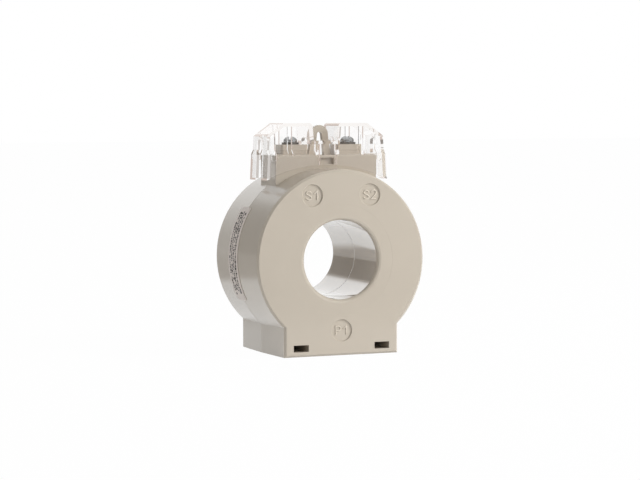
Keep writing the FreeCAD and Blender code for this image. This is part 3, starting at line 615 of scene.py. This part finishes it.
def add_label_print():
    maker = random.Random(PRINT_SEED)
    start_angle, end_angle = [math.radians(angle) for angle in PRINT_ANGLES]
    first_row = PAPER_MIDDLE - ROW_PITCH * (ROW_COUNT - 1) / 2
    dashes = []
    for row in range(ROW_COUNT):
        row_y = first_row + row * ROW_PITCH
        radius = paper_radius(row_y)
        angle = start_angle + math.radians(maker.uniform(0.0, PRINT_INDENT))
        while angle < end_angle:
            length = maker.choice(DASH_LENGTHS)
            height = maker.choice(DASH_HEIGHTS)
            shift = maker.uniform(-DASH_SHIFT, DASH_SHIFT)
            swing = length / radius
            if maker.random() < DASH_SHARE:
                dashes.append(dash_loops(angle, swing, row_y + shift, height))
            angle += swing + maker.choice(DASH_GAPS) / radius
    label_print = add_solids("label_print", dashes)
    label_print.data.materials.append(print_ink)
    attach(label_print, "case")


add_label_print()


# Table, world, lamps and camera
def add_table():
    """White table that keeps the part's shadow. Its glow lights nothing: it is only seen, also mirrored."""
    mesh = bpy.data.meshes.new("studio_floor")
    z = (FOOT_BOTTOM - TABLE_GAP) * MM
    corners = ((-1, -1), (1, -1), (1, 1), (-1, 1))
    mesh.from_pydata([(x * TABLE_HALF, y * TABLE_HALF, z) for x, y in corners], [], [(0, 1, 2, 3)])
    floor = add_object("studio_floor", mesh)
    material, tree, shader = new_material("studio_floor")
    set_inputs(shader, {"Base Color": TABLE_COLOUR, "Roughness": 1.0, "Specular IOR Level": 0.0})

    place = object_place(tree)
    near = map_range(tree, vector_node(tree, "LENGTH", place, output="Value"), *TABLE_EDGE)
    facing = along(tree, vector_node(tree, "NORMALIZE", place), BACKDROP_WAY)
    behind = map_range(tree, facing, *BACKDROP_SIDE, low=TABLE_FAR_TONE)
    mirrored = math_node(tree, "MAXIMUM", near, behind)
    tone = math_node(tree, "MAXIMUM", mirrored, any_ray(tree, "Is Camera Ray", "Is Transmission Ray"))
    glow = tree.nodes.new("ShaderNodeEmission")
    set_inputs(glow, {"Color": warm_where_dim(tree, tone), "Strength": tone})
    shown = before_diffuse(tree, any_ray(tree, "Is Camera Ray", "Is Glossy Ray", "Is Transmission Ray"))
    share = math_node(tree, "MULTIPLY", shown, TABLE_GLOW_SHARE)
    surface = mix_shaders(tree, share, shader.outputs["BSDF"], glow.outputs["Emission"])
    feed(node_of_type(tree, "OUTPUT_MATERIAL").inputs["Surface"], surface)
    mesh.materials.append(material)


def studio_tone(tree):
    """How bright the studio is each way, in reflections and through the clear cover."""
    way = tree.nodes.new("ShaderNodeTexCoord").outputs["Generated"]
    height = separate(tree, way, "Z")
    below_top = map_range(tree, height, *BACKDROP_TOP)
    within_side = map_range(tree, along(tree, way, BACKDROP_WAY), *BACKDROP_SIDE)
    whiteness = math_node(tree, "MULTIPLY", below_top, within_side)
    backdrop = map_range(tree, whiteness, 0.0, 1.0, low=STUDIO_TONE)
    key_patch = map_range(tree, along(tree, way, Vector(KEY_PLACE).normalized()), *KEY_PATCH)
    tone = math_node(tree, "MAXIMUM", backdrop, key_patch)

    # Only a clear surface is quite smooth, so only there the ray is singular.
    card = map_range(tree, along(tree, way, CARD_WAY), *CARD_EDGE, high=CARD_TONE)
    mirrored_card = math_node(tree, "MULTIPLY", card, light_path(tree, "Is Singular Ray"))
    open_tone = math_node(tree, "MAXIMUM", tone, mirrored_card)

    # Through the cover: white straight behind it, and the room by reflection.
    side = map_range(tree, light_path(tree, "Transmission Depth"), *SCREW_WALLS, SIDE_TONE, SCREW_SIDE_TONE,
                     smooth=False)
    overhead = map_range(tree, height, *OVERHEAD, low=side)
    room = math_node(tree, "MAXIMUM", overhead, open_tone)
    unreflected = math_node(tree, "LESS_THAN", light_path(tree, "Glossy Depth"), FIRST_MEETING)
    clear_tone = math_node(tree, "MAXIMUM", room, unreflected)
    return mix_node(tree, "Float", light_path(tree, "Is Transmission Ray"), open_tone, clear_tone)


def set_world():
    """Plain light on the part, white behind it, and the studio for reflections and refractions."""
    world = bpy.data.worlds.new("studio")
    bpy.context.scene.world = world
    world.use_nodes = True
    tree = world.node_tree
    ambient = node_of_type(tree, "BACKGROUND")
    set_inputs(ambient, {"Color": AMBIENT_COLOUR, "Strength": AMBIENT})
    white = tree.nodes.new("ShaderNodeBackground")
    white.inputs["Color"].default_value = WHITE
    studio = tree.nodes.new("ShaderNodeBackground")
    tone = studio_tone(tree)
    set_inputs(studio, {"Color": warm_where_dim(tree, tone), "Strength": tone})
    mirrored = before_diffuse(tree, any_ray(tree, "Is Glossy Ray", "Is Transmission Ray"))
    unseen = mix_shaders(tree, mirrored, ambient.outputs["Background"], studio.outputs["Background"])
    surface = mix_shaders(tree, light_path(tree, "Is Camera Ray"), unseen, white.outputs["Background"])
    feed(node_of_type(tree, "OUTPUT_WORLD").inputs["Surface"], surface)


def add_lamp(name, place, power, size):
    """Square lamp that points at the part's origin. The clear cover doesn't show it."""
    light = bpy.data.lights.new(name, "AREA")
    light.energy = power
    light.shape = "SQUARE"
    light.size = size
    lamp = add_object(name, light)
    lamp.location = place
    lamp.rotation_euler = (-Vector(place)).to_track_quat("-Z", "Y").to_euler()
    lamp.visible_transmission = False
    return lamp


def add_camera():
    camera_data = bpy.data.cameras.new("camera")
    camera_data.lens = CAMERA_LENS
    camera_data.sensor_width = CAMERA_SENSOR
    camera_data.clip_start, camera_data.clip_end = CAMERA_CLIP
    camera = add_object("camera", camera_data)
    backward = [-value for value in CAMERA_FORWARD]
    rows = [list(row) for row in zip(CAMERA_RIGHT, CAMERA_UP, backward, CAMERA_PLACE)]
    camera.matrix_world = Matrix(rows + [[0.0, 0.0, 0.0, 1.0]])
    bpy.context.scene.camera = camera


add_table()
set_world()
key_lamp = add_lamp("key", KEY_PLACE, KEY_POWER, KEY_SIZE)
key_lamp.visible_glossy = False
add_lamp("back", BACK_PLACE, BACK_POWER, BACK_SIZE)
add_camera()
scene = bpy.context.scene
scene.view_settings.view_transform = "Standard"
